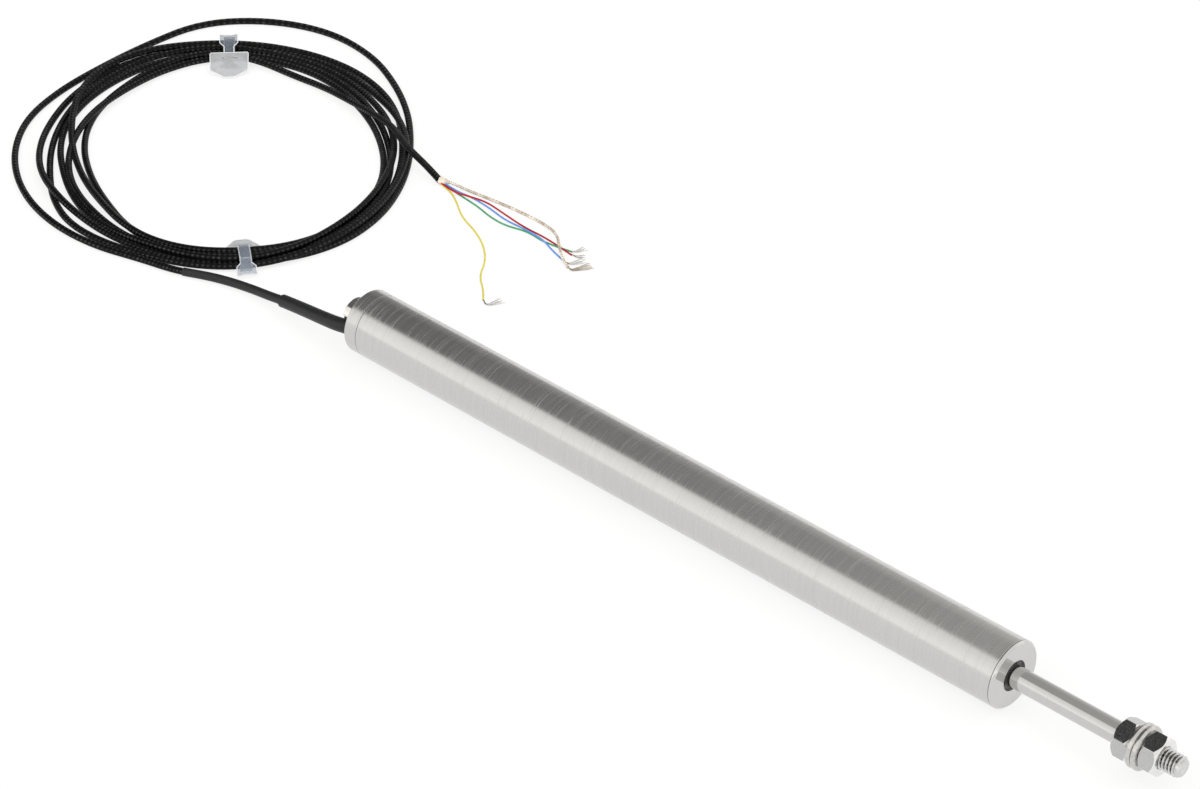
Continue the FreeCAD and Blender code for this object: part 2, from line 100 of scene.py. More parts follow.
def noise(tree, vector, scale, detail=3.0, rough=0.5):
    tex = node(tree, "ShaderNodeTexNoise")
    tex.inputs["Scale"].default_value = scale
    tex.inputs["Detail"].default_value = detail
    tex.inputs["Roughness"].default_value = rough
    tree.links.new(vector, tex.inputs["Vector"])
    return tex.outputs["Fac"]


def spread(tree, value, low_out, high_out, low_in=0.3, high_in=0.7):
    out = node(tree, "ShaderNodeMapRange")
    out.inputs["From Min"].default_value = low_in
    out.inputs["From Max"].default_value = high_in
    out.inputs["To Min"].default_value = low_out
    out.inputs["To Max"].default_value = high_out
    tree.links.new(value, out.inputs["Value"])
    return out.outputs["Result"]


def mixed(tree, factor, first, second):
    mix = node(tree, "ShaderNodeMix", data_type="RGBA")
    mix.inputs[6].default_value = (*first, 1.0)
    mix.inputs[7].default_value = (*second, 1.0)
    tree.links.new(factor, mix.inputs[0])
    return mix.outputs[2]


def bump(tree, shader, height, strength, distance):
    made = node(tree, "ShaderNodeBump")
    made.inputs["Strength"].default_value = strength
    made.inputs["Distance"].default_value = distance
    tree.links.new(height, made.inputs["Height"])
    tree.links.new(made.outputs["Normal"], shader.inputs["Normal"])


def metal(name, dark, light, rough_low, rough_high, grain=(1.0, 1.0, 1.0), scale=900.0, depth=0.0):
    mat, tree, shader = new_material(name)
    shader.inputs["Metallic"].default_value = 1.0
    vector = scaled_coords(tree, grain)
    fine = noise(tree, vector, scale)
    tree.links.new(mixed(tree, spread(tree, fine, 0.0, 1.0), dark, light), shader.inputs["Base Color"])
    tree.links.new(spread(tree, fine, rough_low, rough_high), shader.inputs["Roughness"])
    if depth:
        bump(tree, shader, fine, 0.5, depth)
    return mat


def plain(name, dark, light, rough, scale=400.0, depth=0.0, specular=0.5):
    mat, tree, shader = new_material(name)
    shader.inputs["Roughness"].default_value = rough
    shader.inputs["Specular IOR Level"].default_value = specular
    vector = scaled_coords(tree, (1.0, 1.0, 1.0))
    fine = noise(tree, vector, scale)
    tree.links.new(mixed(tree, spread(tree, fine, 0.0, 1.0), dark, light), shader.inputs["Base Color"])
    if depth:
        bump(tree, shader, fine, 0.6, depth)
    return mat


def brushed_round(name, dark, light, rough_low, rough_high, streaks, depth, marks=0.0):
    """Steel brushed round X: fine rings that fade in and out round the tube, and sparse rougher lines."""
    broad_share = 0.15
    fine_share = 0.65
    mat, tree, shader = new_material(name)
    shader.inputs["Metallic"].default_value = 1.0
    fine = noise(tree, scaled_coords(tree, (streaks, 60.0, 60.0)), 1.0, 4.0, 0.6)
    broad = noise(tree, scaled_coords(tree, (streaks / 9.0, 25.0, 25.0)), 1.0, 2.0)
    both = node(tree, "ShaderNodeMath", operation="MULTIPLY_ADD")
    both.inputs[1].default_value = broad_share
    tree.links.new(broad, both.inputs[0])
    tree.links.new(spread(tree, fine, 0.0, fine_share, 0.0, 1.0), both.inputs[2])
    factor = spread(tree, both.outputs[0], 0.0, 1.0)
    tree.links.new(mixed(tree, factor, dark, light), shader.inputs["Base Color"])
    lines = noise(tree, scaled_coords(tree, (streaks * 0.42, 70.0, 70.0)), 1.0, 2.0, 0.6)
    rough = node(tree, "ShaderNodeMath", operation="ADD")
    tree.links.new(spread(tree, fine, rough_low, rough_high), rough.inputs[0])
    tree.links.new(spread(tree, lines, 0.0, marks, 0.54, 0.68), rough.inputs[1])
    tree.links.new(rough.outputs[0], shader.inputs["Roughness"])
    bump(tree, shader, fine, 0.6, depth)
    return mat


def braided(name, dark, light, along, around, rough, depth, glint, specular):
    """Two crossing sets of diagonal threads, from a coordinate along the cord and one round it. The glint
    range sets where the colour goes from dark to light, broken up by noise patches; on the cable jacket that
    light colour is a painted highlight on the threads.
    """
    mat, tree, shader = new_material(name)
    coords = node(tree, "ShaderNodeTexCoord")
    split = node(tree, "ShaderNodeSeparateXYZ")
    tree.links.new(coords.outputs["UV"], split.inputs[0])
    waves = []
    for sign in (1.0, -1.0):
        length = node(tree, "ShaderNodeMath", operation="MULTIPLY")
        length.inputs[1].default_value = along
        tree.links.new(split.outputs[0], length.inputs[0])
        total = node(tree, "ShaderNodeMath", operation="MULTIPLY_ADD")
        total.inputs[1].default_value = sign * around
        tree.links.new(split.outputs[1], total.inputs[0])
        tree.links.new(length.outputs[0], total.inputs[2])
        wave = node(tree, "ShaderNodeMath", operation="SINE")
        tree.links.new(total.outputs[0], wave.inputs[0])
        waves.append(wave.outputs[0])
    woven = node(tree, "ShaderNodeMath", operation="MULTIPLY")
    tree.links.new(waves[0], woven.inputs[0])
    tree.links.new(waves[1], woven.inputs[1])
    patches = noise(tree, scaled_coords(tree, (1.0, 1.0, 1.0)), 420.0, 2.0)
    # Dark-to-light mix over the glint range; on the jacket its light colour is painted glints
    glints = node(tree, "ShaderNodeMath", operation="MULTIPLY")
    tree.links.new(spread(tree, woven.outputs[0], 0.0, 1.0, *glint), glints.inputs[0])
    tree.links.new(spread(tree, patches, 0.25, 1.0, 0.35, 0.65), glints.inputs[1])
    factor = glints.outputs[0]
    tree.links.new(mixed(tree, factor, dark, light), shader.inputs["Base Color"])
    shader.inputs["Roughness"].default_value = rough
    shader.inputs["Specular IOR Level"].default_value = specular
    bump(tree, shader, woven.outputs[0], 0.8, depth)
    return mat


TUBE_STEEL = brushed_round("tube_steel", (0.56, 0.555, 0.545), (0.635, 0.63, 0.62), 0.16, 0.25, 4600.0,
                           0.000004, 0.14)
CAP_STEEL = brushed_round("cap_steel", (0.59, 0.585, 0.575), (0.65, 0.645, 0.635), 0.07, 0.12, 5200.0,
                          0.000001)
BOSS_PLATE = metal("boss_plating", (0.70, 0.68, 0.65), (0.82, 0.80, 0.77), 0.05, 0.11, scale=500.0)
ROD_STEEL = brushed_round("rod_steel", (0.55, 0.545, 0.535), (0.62, 0.61, 0.60), 0.08, 0.13, 4200.0,
                          0.000001)
NUT_STEEL = metal("nut_steel", (0.74, 0.74, 0.73), (0.84, 0.84, 0.83), 0.05, 0.09, scale=1500.0)
# Painted reflection: near-black steel for one flat of a nut, standing in for the dark overhead that this
# flat mirrors
NUT_FLAT_PAINTED_REFLECTION = metal("nut_flat_painted_reflection", (0.04, 0.04, 0.041), (0.13, 0.13, 0.13), 0.14, 0.26, scale=2600.0,
                 depth=0.000006)
NUT_SIDE = metal("nut_side", (0.46, 0.46, 0.455), (0.54, 0.54, 0.53), 0.08, 0.14, scale=2600.0,
                 depth=0.000002)
WASHER_STEEL = metal("washer_steel", (0.50, 0.49, 0.475), (0.64, 0.63, 0.61), 0.09, 0.16, scale=1200.0,
                     depth=0.000004)
# Painted shade: near-black steel for the deep faces of the thread's groove, where shade falls
GROOVE_PAINTED_SHADE = metal("groove_painted_shade", (0.10, 0.10, 0.10), (0.20, 0.20, 0.195), 0.2, 0.3, scale=1500.0)
THREAD_STEEL = metal("thread_steel", (0.56, 0.56, 0.55), (0.70, 0.70, 0.69), 0.07, 0.12, scale=1500.0)
INNER_STEEL = metal("inner_steel", (0.55, 0.55, 0.54), (0.66, 0.66, 0.65), 0.3, 0.4)
SHIELD_ALLOY = metal("shield_alloy", (0.42, 0.42, 0.43), (0.52, 0.52, 0.53), 0.3, 0.42)
CORE_ALLOY = metal("core_alloy", (0.30, 0.29, 0.28), (0.38, 0.37, 0.36), 0.4, 0.5)
COPPER = metal("winding_copper", (0.55, 0.22, 0.09), (0.72, 0.34, 0.15), 0.22, 0.34,
               (3000.0, 20.0, 20.0), 1.0)
BRASS = metal("pin_brass", (0.70, 0.56, 0.28), (0.80, 0.66, 0.38), 0.2, 0.3)
TAPE = plain("insulation_tape", (0.80, 0.60, 0.12), (0.88, 0.70, 0.20), 0.3)
LAMINATE = plain("board_laminate", (0.07, 0.25, 0.12), (0.11, 0.33, 0.17), 0.45)
BOBBIN_PLASTIC = plain("bobbin_plastic", (0.76, 0.72, 0.62), (0.86, 0.82, 0.72), 0.5)
BUSH_PLASTIC = plain("bush_plastic", (0.12, 0.12, 0.13), (0.19, 0.19, 0.20), 0.45)
RING_PLASTIC = plain("ring_plastic", (0.86, 0.86, 0.84), (0.93, 0.93, 0.91), 0.4)
SEAL_RUBBER = plain("seal_rubber", (0.016, 0.016, 0.016), (0.03, 0.03, 0.03), 0.5)
GROMMET = plain("grommet_rubber", (0.010, 0.010, 0.010), (0.02, 0.02, 0.02), 0.6)
WIPER = plain("wiper_plastic", (0.07, 0.07, 0.072), (0.11, 0.11, 0.112), 0.35)
SLEEVE = plain("sleeve_plastic", (0.011, 0.0115, 0.013), (0.017, 0.0175, 0.019), 0.42, 900.0, 0.00002, 0.3)
RED = plain("red_insulation", (0.40, 0.005, 0.012), (0.50, 0.012, 0.022), 0.4, 800.0, 0.0, 0.25)
GREEN = plain("green_insulation", (0.05, 0.28, 0.12), (0.09, 0.37, 0.17), 0.4, 800.0, 0.0, 0.25)
BLUE = plain("blue_insulation", (0.10, 0.25, 0.62), (0.15, 0.33, 0.74), 0.4, 800.0, 0.0, 0.25)
YELLOW = plain("yellow_insulation", (0.60, 0.52, 0.06), (0.70, 0.62, 0.10), 0.4, 800.0, 0.0, 0.25)
STRANDS = metal("bare_strands", (0.46, 0.44, 0.41), (0.72, 0.70, 0.66), 0.2, 0.35, scale=2500.0)


# Mesh helpers

def linked(name, data):
    """A new object in the scene."""
    obj = bpy.data.objects.new(name, data)
    bpy.context.scene.collection.objects.link(obj)
    return obj


def final_mesh(obj):
    """The mesh that an object's curve or modifiers give."""
    return bpy.data.meshes.new_from_object(obj.evaluated_get(bpy.context.evaluated_depsgraph_get()))


def add_object(name, mesh, material, sharp=30.0):
    mesh.validate()
    for poly in mesh.polygons:
        poly.use_smooth = True
    mesh.set_sharp_from_angle(angle=math.radians(sharp))
    obj = linked(name, mesh)
    obj.data.materials.clear()
    obj.data.materials.append(material)
    return obj


def mesh_from(name, verts, faces):
    mesh = bpy.data.meshes.new(name)
    mesh.from_pydata([Vector(v) * MM for v in verts], [], faces)
    return mesh


def rounded(points, radius):
    """A closed outline of (x, r) points with every corner off the axis rounded.

    A point close by on each side of a corner keeps the flat faces flat in the light.
    """
    out = []
    count = len(points)
    for i, here in enumerate(points):
        before, after = Vector(points[i - 1]), Vector(points[(i + 1) % count])
        here = Vector(here)
        a, b = before - here, after - here
        size = min(radius, a.length * 0.4, b.length * 0.4)
        if here[1] < 1e-6 or size < 1e-4 or abs(a.normalized().dot(b.normalized())) > 0.98:
            out.append(tuple(here))
            continue
        start, end = here + a.normalized() * size, here + b.normalized() * size
        out.append(tuple(start + a.normalized() * min(SUPPORT, a.length * 0.08)))
        for s in range(CORNER_STEPS + 1):
            t = s / CORNER_STEPS
            p = start * (1 - t) ** 2 + here * 2 * t * (1 - t) + end * t ** 2
            out.append(tuple(p))
        out.append(tuple(end + b.normalized() * min(SUPPORT, b.length * 0.08)))
    return out


def lathe_mesh(name, outline, segments=144):
    """A solid turned about X from a closed outline of (x, r) points."""
    verts, rings = [], []
    for x, r in outline:
        if r < 1e-6:
            rings.append([len(verts)] * segments)
            verts.append((x, 0, 0))
            continue
        start = len(verts)
        for s in range(segments):
            turn = 2 * math.pi * s / segments
            verts.append((x, -r * math.sin(turn), r * math.cos(turn)))
        rings.append(list(range(start, start + segments)))
    faces = []
    for one, two in zip(rings, rings[1:] + rings[:1]):
        for s in range(segments):
            n = (s + 1) % segments
            corners = []
            for v in (one[s], one[n], two[n], two[s]):
                if v not in corners:
                    corners.append(v)
            if len(corners) > 2:
                faces.append(corners)
    return mesh_from(name, verts, faces)


def turned(name, outline, material, round_by=0.08, segments=144):
    return add_object(name, lathe_mesh(name, rounded(outline, round_by), segments), material)


def hex_nut(name, turn):
    """A nut whose chamfers cut the flats along their true curves. One flat is painted darker than the rest,
    as a painted reflection of a dark room above it.
    """
    start, end = turned_size(name)[:2]
    height = round(end - start, 2)
    flat = 5.0          # half the width across flats
    rim_drop = 0.16     # how far the chamfer reaches down the middle of a flat
    drop = 0.85         # how much further it reaches down a corner
    blunt = 0.10        # what is taken off the corners, and how much less at their tips
    blunt_bow = 0.02
    mouth = 0.5         # chamfer of the hole
    edge = 0.05         # rounding between chamfer and flat
    face = flat - 0.42  # radius of the end face, and of the chamfer's start beyond it
    shoulder = flat - 0.34
    parts = 24          # divisions of each side
    flat_band = 6       # the row of faces that makes the flats
    corner = flat / math.cos(math.pi / 6)
    hole = ROD_R + 0.02
    angles = []
    for side in range(6):
        for part in range(parts):
            angles.append(side * 60.0 + part * 60.0 / parts)
    rows = []
    for angle in angles:
        off = (angle % 60.0) - 30.0
        reach = flat / math.cos(math.radians(off))
        reach = min(reach, corner - blunt + blunt_bow * abs(off) / 30)
        depth = rim_drop + drop * max(reach - flat, 0) / (corner - flat)
        rows.append((angle, [
            (mouth, hole), (0.08, hole + mouth - 0.06), (0.0, hole + mouth + 0.04), (0.0, face),
            (0.03, shoulder), (depth, reach - edge), (depth + edge, reach),
            (height - depth - edge, reach), (height - depth, reach - edge), (height - 0.03, shoulder),
            (height, face), (height, hole + mouth + 0.04), (height - 0.08, hole + mouth - 0.06),
            (height - mouth, hole)]))
    verts, faces = [], []
    size = len(rows[0][1])
    for angle, profile in rows:
        a = math.radians(turn + angle)
        for x, r in profile:
            verts.append((start + x, -r * math.sin(a), r * math.cos(a)))
    count = len(rows)
    for i in range(count):
        j = (i + 1) % count
        for p in range(size):
            q = (p + 1) % size
            faces.append([i * size + p, i * size + q, j * size + q, j * size + p])
    nut = add_object(name + "_skin", mesh_from(name, verts, faces), NUT_STEEL, 20.0)
    nut.data.materials.append(NUT_SIDE)
    nut.data.materials.append(NUT_FLAT_PAINTED_REFLECTION)
    # The first side's flat gets the painted dark reflection; the other flats get the nut_side steel
    for poly in nut.data.polygons:
        if poly.index % size == flat_band:
            poly.material_index = 2 if poly.index // size < parts else 1
    return nut


def threaded_rod(name, material):
    """The rod as one turned grid, with a helical groove for the thread of its stud end, painted dark as
    shade deep in the groove.
    """
    pitch = 1.0
    depth = 0.6
    thread_start = 150.0
    row_step = 0.07             # distance of the grid's rows along the thread
    run_out = 1.0               # length over which the groove deepens where it starts
    bevel = 0.9                 # length of the chamfer at the tip, and its slope
    slope = 0.75
    crest = ROD_R - 0.02
    groove_half = 0.42          # half the groove's width, and the width of its flanks, in pitches
    flank = 0.34
    # Below dark_below the groove's faces get painted shade, which stops at dark_end
    dark_below = 0.7            # share of the groove's depth beyond which it is dark
    dark_end = TIP - 1.2        # the thread's grooves are pale from here to the tip
    segments = 96
    xs = [ROD_SHOULDER, 20.0, 60.0, 100.0, 116.0, 130.0, 140.0, 147.0, 149.0]
    x = thread_start
    while x < TIP - 0.02:
        xs.append(x)
        x += row_step
    xs.append(TIP)

    def radius(x, turn):
        limit = ROD_R - max(0.0, bevel - (TIP - x)) * slope
        fade = min(1.0, max(0.0, (x - thread_start) / run_out))
        phase = (x / pitch - turn / (2 * math.pi)) % 1.0
        groove = min(1.0, max(0.0, (groove_half - abs(phase - 0.5)) / flank))
        return min(limit, crest - depth * fade * groove) if x > thread_start else ROD_R

    verts = [(ROD_SHOULDER, 0, 0)]
    for x in xs:
        for s in range(segments):
            turn = 2 * math.pi * s / segments
            r = radius(x, turn)
            verts.append((x, -r * math.sin(turn), r * math.cos(turn)))
    verts.append((TIP, 0, 0))
    last = len(verts) - 1
    faces = []
    for s in range(segments):
        n = (s + 1) % segments
        faces.append([0, 1 + s, 1 + n])
        for row in range(len(xs) - 1):
            a = 1 + row * segments
            faces.append([a + s, a + segments + s, a + segments + n, a + n])
        top = 1 + (len(xs) - 1) * segments
        faces.append([top + s, last, top + n])
    rod = add_object(name, mesh_from(name, verts, faces), material, 40.0)
    rod.data.materials.append(THREAD_STEEL)
    rod.data.materials.append(GROOVE_PAINTED_SHADE)
    # Deep faces of the groove get the painted shade, short of the tip
    for poly in rod.data.polygons:
        if poly.center.x > thread_start * MM:
            deep = poly.center.yz.length < (ROD_R - dark_below * depth) * MM
            poly.material_index = 2 if deep and poly.center.x < dark_end * MM else 1
    return rod


def tube_mesh(name, points, radii):
    """A closed tube along points, with a radius at each."""
    segments = 32
    pts = [Vector(p) for p in points]
    verts, faces = [], []
    side = Vector((0, 0, 1))
    for i, p in enumerate(pts):
        ahead = (pts[min(i + 1, len(pts) - 1)] - pts[max(i - 1, 0)]).normalized()
        side = (side - ahead * side.dot(ahead)).normalized()
        other = ahead.cross(side)
        for s in range(segments):
            a = 2 * math.pi * s / segments
            verts.append(p + (side * math.cos(a) + other * math.sin(a)) * radii[i])
    for i in range(len(pts) - 1):
        here, there = i * segments, (i + 1) * segments
        for s in range(segments):
            n = (s + 1) % segments
            faces.append([here + s, here + n, there + n, there + s])
    faces.append(list(range(segments))[::-1])
    faces.append([(len(pts) - 1) * segments + s for s in range(segments)])
    return mesh_from(name, verts, faces)


def route_curve(name, routes, resolution):
    """Open splines, each with the given points as its control points."""
    curve = bpy.data.curves.new(name, "CURVE")
    curve.dimensions = "3D"
    for route in routes:
        spline = curve.splines.new("NURBS")
        spline.points.add(len(route) - 1)
        for target, p in zip(spline.points, route):
            target.co = (p[0] * MM, p[1] * MM, p[2] * MM, 1.0)
        spline.order_u = 3
        spline.use_endpoint_u = True
        spline.resolution_u = resolution
    return linked(name, curve)


def cord_curve(name, routes, diameter, material, resolution=6):
    """Round cords of one thickness, one for each route."""
    obj = route_curve(name, routes, resolution)
    obj.data.bevel_depth = diameter / 2 * MM
    obj.data.bevel_resolution = 4
    obj.data.use_fill_caps = True
    obj.data.materials.append(material)
    return obj


def line_points(route):
    """Points along the smooth line of a route."""
    temp = route_curve("line", [route], 12)
    mesh = final_mesh(temp)
    bpy.data.objects.remove(temp)
    return [v.co / MM for v in mesh.vertices]


def closed_line(curve, points):
    """A closed line of straight runs in a curve."""
    spline = curve.splines.new("POLY")
    spline.points.add(len(points) - 1)
    for target, p in zip(spline.points, points):
        target.co = (p[0] * MM, p[1] * MM, p[2] * MM, 1.0)
    spline.use_cyclic_u = True


def flat_sheet(name, outlines, thickness):
    """A sheet with rounded rims from closed outlines in its own plane; inner outlines are holes."""
    edge = 0.08
    curve = bpy.data.curves.new(name, "CURVE")
    curve.dimensions = "2D"
    curve.fill_mode = "BOTH"
    curve.extrude = (thickness / 2 - edge) * MM
    curve.bevel_depth = edge * MM
    curve.bevel_resolution = 2
    curve.offset = -edge * MM
    for outline in outlines:
        closed_line(curve, [(x, y, 0.0) for x, y in outline])
    temp = linked(name + "_curve", curve)
    mesh = final_mesh(temp)
    bpy.data.objects.remove(temp)
    return mesh


# Body

def body_pieces():
    """The tube and its caps, and the washers and nuts on the rod."""
    tube_bore = BODY_R - 1.0
    plug = 8.46                 # radius of a cap's end inside the tube
    front_chamfer = 0.6
    rear_chamfer = 0.4
    wiper_pocket = 4.3
    web = ROD_R + 0.3           # hole between the wiper's pocket and the bush
    bush_seat = BUSH_R + 0.04
    liner_seat = 4.16
    boss_pocket = 4.32
    made = {}
    made["body_tube"] = turned("tube_skin", [
        (TUBE_REAR + SEAM, tube_bore), (TUBE_REAR + SEAM, BODY_R), (TUBE_FRONT - SEAM, BODY_R),
        (TUBE_FRONT - SEAM, tube_bore)], TUBE_STEEL, 0.10)
    made["front_end_cap"] = turned("front_cap_skin", [
        (FRONT_CAP_REAR, liner_seat), (FRONT_CAP_REAR, plug), (TUBE_FRONT, plug), (TUBE_FRONT, BODY_R),
        (FRONT - front_chamfer, BODY_R), (FRONT, BODY_R - front_chamfer), (FRONT, wiper_pocket),
        (WIPER_REAR, wiper_pocket), (WIPER_REAR, web), (BUSH_FRONT, web), (BUSH_FRONT, bush_seat),
        (BUSH_REAR, bush_seat), (BUSH_REAR, liner_seat)], CAP_STEEL, 0.08)
    made["rear_end_cap"] = turned("rear_cap_skin", [
        (REAR, boss_pocket), (REAR, BODY_R - rear_chamfer), (REAR + rear_chamfer, BODY_R),
        (TUBE_REAR, BODY_R), (TUBE_REAR, plug), (REAR_CAP_FRONT, plug), (REAR_CAP_FRONT, CABLE_BORE_R),
        (BOSS_FRONT, CABLE_BORE_R), (BOSS_FRONT, boss_pocket)], TUBE_STEEL, 0.10)
    for name in ("inner_washer", "outer_washer"):
        made[name] = washer(name)
    for name, turn in (("inner_nut", 2.0), ("outer_nut", -15.0)):
        made[name] = hex_nut(name, turn)
    return made


def washer(name):
    """A washer with a domed rim."""
    start, end = turned_size(name)[:2]
    hole = 3.2
    rim = [(0.0, 5.5), (0.1, 5.78), (0.3, 5.99), (0.55, 6.11), (0.8, 6.15), (1.05, 6.11), (1.3, 5.99),
           (1.5, 5.78), (1.6, 5.5)]
    outline = [(start, hole)] + [(start + x, r) for x, r in rim] + [(end, hole)]
    return turned(name + "_skin", outline, WASHER_STEEL, 0.04, 96)


def boss_piece():
    """The plated collar with its slot, which faces the cable's side."""
    bore = 3.9
    inner_floor = REAR - 0.8
    slot = (8.0, 6.4, 10.2)     # length, width and depth of what is cut
    slot_turn = 108.0
    outer = lathe_mesh("cable_boss_skin", rounded([
        (BOSS_REAR, bore), (BOSS_REAR, BOSS_R), (REAR, BOSS_R), (REAR, BOSS_SEAT_R),
        (BOSS_FRONT, BOSS_SEAT_R), (BOSS_FRONT, CABLE_BORE_R), (inner_floor, CABLE_BORE_R),
        (inner_floor, bore)], 0.22))
    obj = add_object("cable_boss_skin", outer, BOSS_PLATE)
    cutter_mesh = bpy.data.meshes.new("slot_cutter")
    shape = bmesh.new()
    bmesh.ops.create_cube(shape, size=1.0)
    shape.to_mesh(cutter_mesh)
    shape.free()
    cutter = linked("slot_cutter", cutter_mesh)
    cutter.matrix_world = (
        Matrix.Rotation(math.radians(slot_turn), 4, "X")
        @ Matrix.Translation(Vector((inner_floor - slot[0] / 2, 0, slot[2] / 2)) * MM)
        @ Matrix.Diagonal((slot[0] * MM, slot[1] * MM, slot[2] * MM, 1.0)))
    cut = obj.modifiers.new("slot", "BOOLEAN")
    cut.object = cutter
    cut.solver = "EXACT"
    bpy.context.view_layer.update()
    mesh = final_mesh(obj)
    obj.modifiers.clear()
    bpy.data.objects.remove(cutter)
    obj.data = mesh
    mesh.set_sharp_from_angle(angle=math.radians(30))
    return obj


# Cable

LARGE_SLEEVE = [(-117.3, -4.35, -1.3), (-121.6, -5.2, -1.8), (-128.0, -5.1, -2.7), (-137.0, -4.5, -4.1),
                (-147.2, -3.9, -5.8)]
SMALL_SLEEVE = [(-153.0, -3.9, -6.8), (-160.0, -3.9, -7.7), (-168.0, -5.4, -8.0), (-175.0, -7.7, -8.1),
                (-184.0, -12.0, -8.2)]
LARGE_END = -147.2
SMALL_END = -182.5
TAIL = [(-180.6, 78.6, -4.6), (-174.6, 77.3, -5.4), (-168.6, 76.6, -6.8), (-162.2, 75.2, -8.1)]
WIRES = {
    "red_wire": ([(-162.2, 74.9, -8.3), (-156.0, 73.8, -8.5), (-150.5, 75.0, -8.3), (-144.5, 77.0, -8.7),
                  (-136.0, 76.3, -9.2), (-127.0, 75.1, -9.2), (-117.0, 75.4, -9.2),
                  (-106.4, 73.8, -9.2)], RED),
    "green_wire": ([(-162.2, 75.3, -8.6), (-156.5, 75.0, -9.1), (-151.0, 74.5, -9.2), (-145.0, 73.9, -9.2),
                    (-138.0, 72.2, -9.2), (-131.5, 72.0, -9.2), (-124.5, 74.2, -9.2), (-116.5, 73.1, -9.2),
                    (-107.4, 75.2, -9.2)], GREEN),
    "blue_wire": ([(-162.2, 75.4, -8.1), (-155.8, 74.9, -8.6), (-150.0, 75.9, -8.8), (-142.5, 75.8, -9.2),
                   (-134.0, 74.1, -9.2), (-126.0, 74.0, -8.7), (-118.0, 73.7, -8.7), (-112.0, 71.6, -9.2),
                   (-106.8, 70.2, -9.2)], BLUE),
    "yellow_wire": ([(-162.3, 74.8, -8.5), (-157.0, 74.3, -9.1), (-151.5, 71.4, -9.2), (-144.5, 66.5, -9.2),
                     (-136.3, 63.8, -9.2), (-129.0, 60.0, -9.2), (-122.6, 54.4, -9.2), (-118.2, 47.2, -9.2),
                     (-112.0, 42.8, -9.2), (-108.8, 39.2, -9.2)], YELLOW),
}
SCREEN = [(-162.0, 75.7, -7.9), (-159.0, 77.0, -8.2), (-153.5, 77.9, -8.9), (-144.0, 79.3, -9.0),
          (-133.9, 80.2, -9.0), (-124.0, 80.1, -8.8), (-116.6, 78.4, -8.4), (-111.0, 73.4, -8.0),
          (-106.5, 69.8, -8.3), (-102.4, 68.0, -8.9)]
# Bare strands at the ends: route, number, how far they part, thickness
STRAND_ENDS = {
    "red_strands": (
        [(-107.0, 74.0, -9.2), (-105.6, 73.8, -9.2), (-104.2, 73.9, -9.2), (-102.7, 75.1, -9.2)],
        7, 1.9, 0.15),
    "green_strands": (
        [(-108.2, 75.0, -9.2), (-106.9, 75.2, -9.2), (-106.1, 76.2, -9.2), (-105.7, 78.4, -9.2)],
        7, 1.9, 0.15),
    "blue_strands": (
        [(-107.2, 70.4, -9.2), (-104.6, 69.4, -9.2), (-102.7, 70.0, -9.2), (-101.6, 73.4, -9.2)],
        7, 2.2, 0.15),
    "yellow_strands": (
        [(-109.2, 39.7, -9.2), (-106.6, 37.6, -9.2), (-105.2, 38.9, -9.2), (-104.4, 42.1, -9.2)],
        7, 2.2, 0.15),
    "screen_strands": (
        [(-103.4, 68.4, -8.7), (-100.9, 67.3, -9.2), (-99.6, 69.6, -9.2), (-98.0, 72.8, -9.2)],
        12, 3.0, 0.18),
}
# Share of the strands' parting and bending at each point of such a route
STRAND_SHARES = (0.12, 0.2, 0.5, 1.0)

CABLE_D = 2.1
WIRE_D = 0.56
SCREEN_D = 0.9
COIL_CENTRE = (-220.0, 41.0)
COIL_START = -67.0      # angle of the coil's first place, in degrees
PLACES = 12             # places in a turn
OUTER_LOOP = 70.0       # a turn that is wider than this passes outside the clips
CURVE_SHARE = 0.9915    # the smooth line's radius as a share of its control points' radius
REST = -8.45      # a turn that lies on the surface
UPPER = -6.59     # a turn that lies in the hollow between two others
# Radius of each turn at its twelve places, clockwise from COIL_START, and below it the height there
COIL_RADII = [
    (59.9, 60.9, 63.2, 66.5, 68.2, 82.0, 79.6, 64.6, 56.2, 56.4, 60.6, 59.95),
    (55.6, 53.6, 56.0, 58.8, 64.0, 63.3, 62.4, 56.6, 54.9, 55.4, 59.5, 62.1),
    (57.75, 57.3, 53.1, 55.4, 61.5, 62.2, 60.2, 54.0, 51.2, 51.3, 55.1, 61.0),
    (54.5, 50.6, 49.1, 53.7, 58.5, 61.15, 58.0, 51.4, 49.2, 52.3, 56.2, 58.9),
    (53.45, 49.1, 47.6, 47.9, 51.4, 59.0, 55.8, 48.8, 47.0, 50.2, 54.0, 56.7),
    (52.4, 44.8, 44.4, 51.6, 65.3, 64.9, 64.8, 59.4, 53.7, 54.3, 58.4, 57.8),
    (51.3, 42.7, 41.6, 46.6, 53.9, 60.1, 50.6, 46.9),
]
R, U = REST, UPPER
COIL_HEIGHTS = [
    (R, R, R, R, R, R, R, R, R, R, R, R),
    (R, -7.6, -7.6, R, R, R, R, R, U, U, U, R),
    (R, R, R, R, R, U, R, R, -7.4, U, U, U),
    (U, R, R, R, R, R, R, R, R, R, R, U),
    (R, -7.2, -7.4, -6.9, -7.6, R, R, R, R, R, R, U),
    (U, -6.8, -7.7, -6.3, -6.2, U, R, R, R, R, R, R),
    (R, R, R, R, R, U, R, -7.1),
]
# Lifts where one turn rides over another between two of those places: turn, place, height
LIFTS = [(1, 1.5, 1.1)]
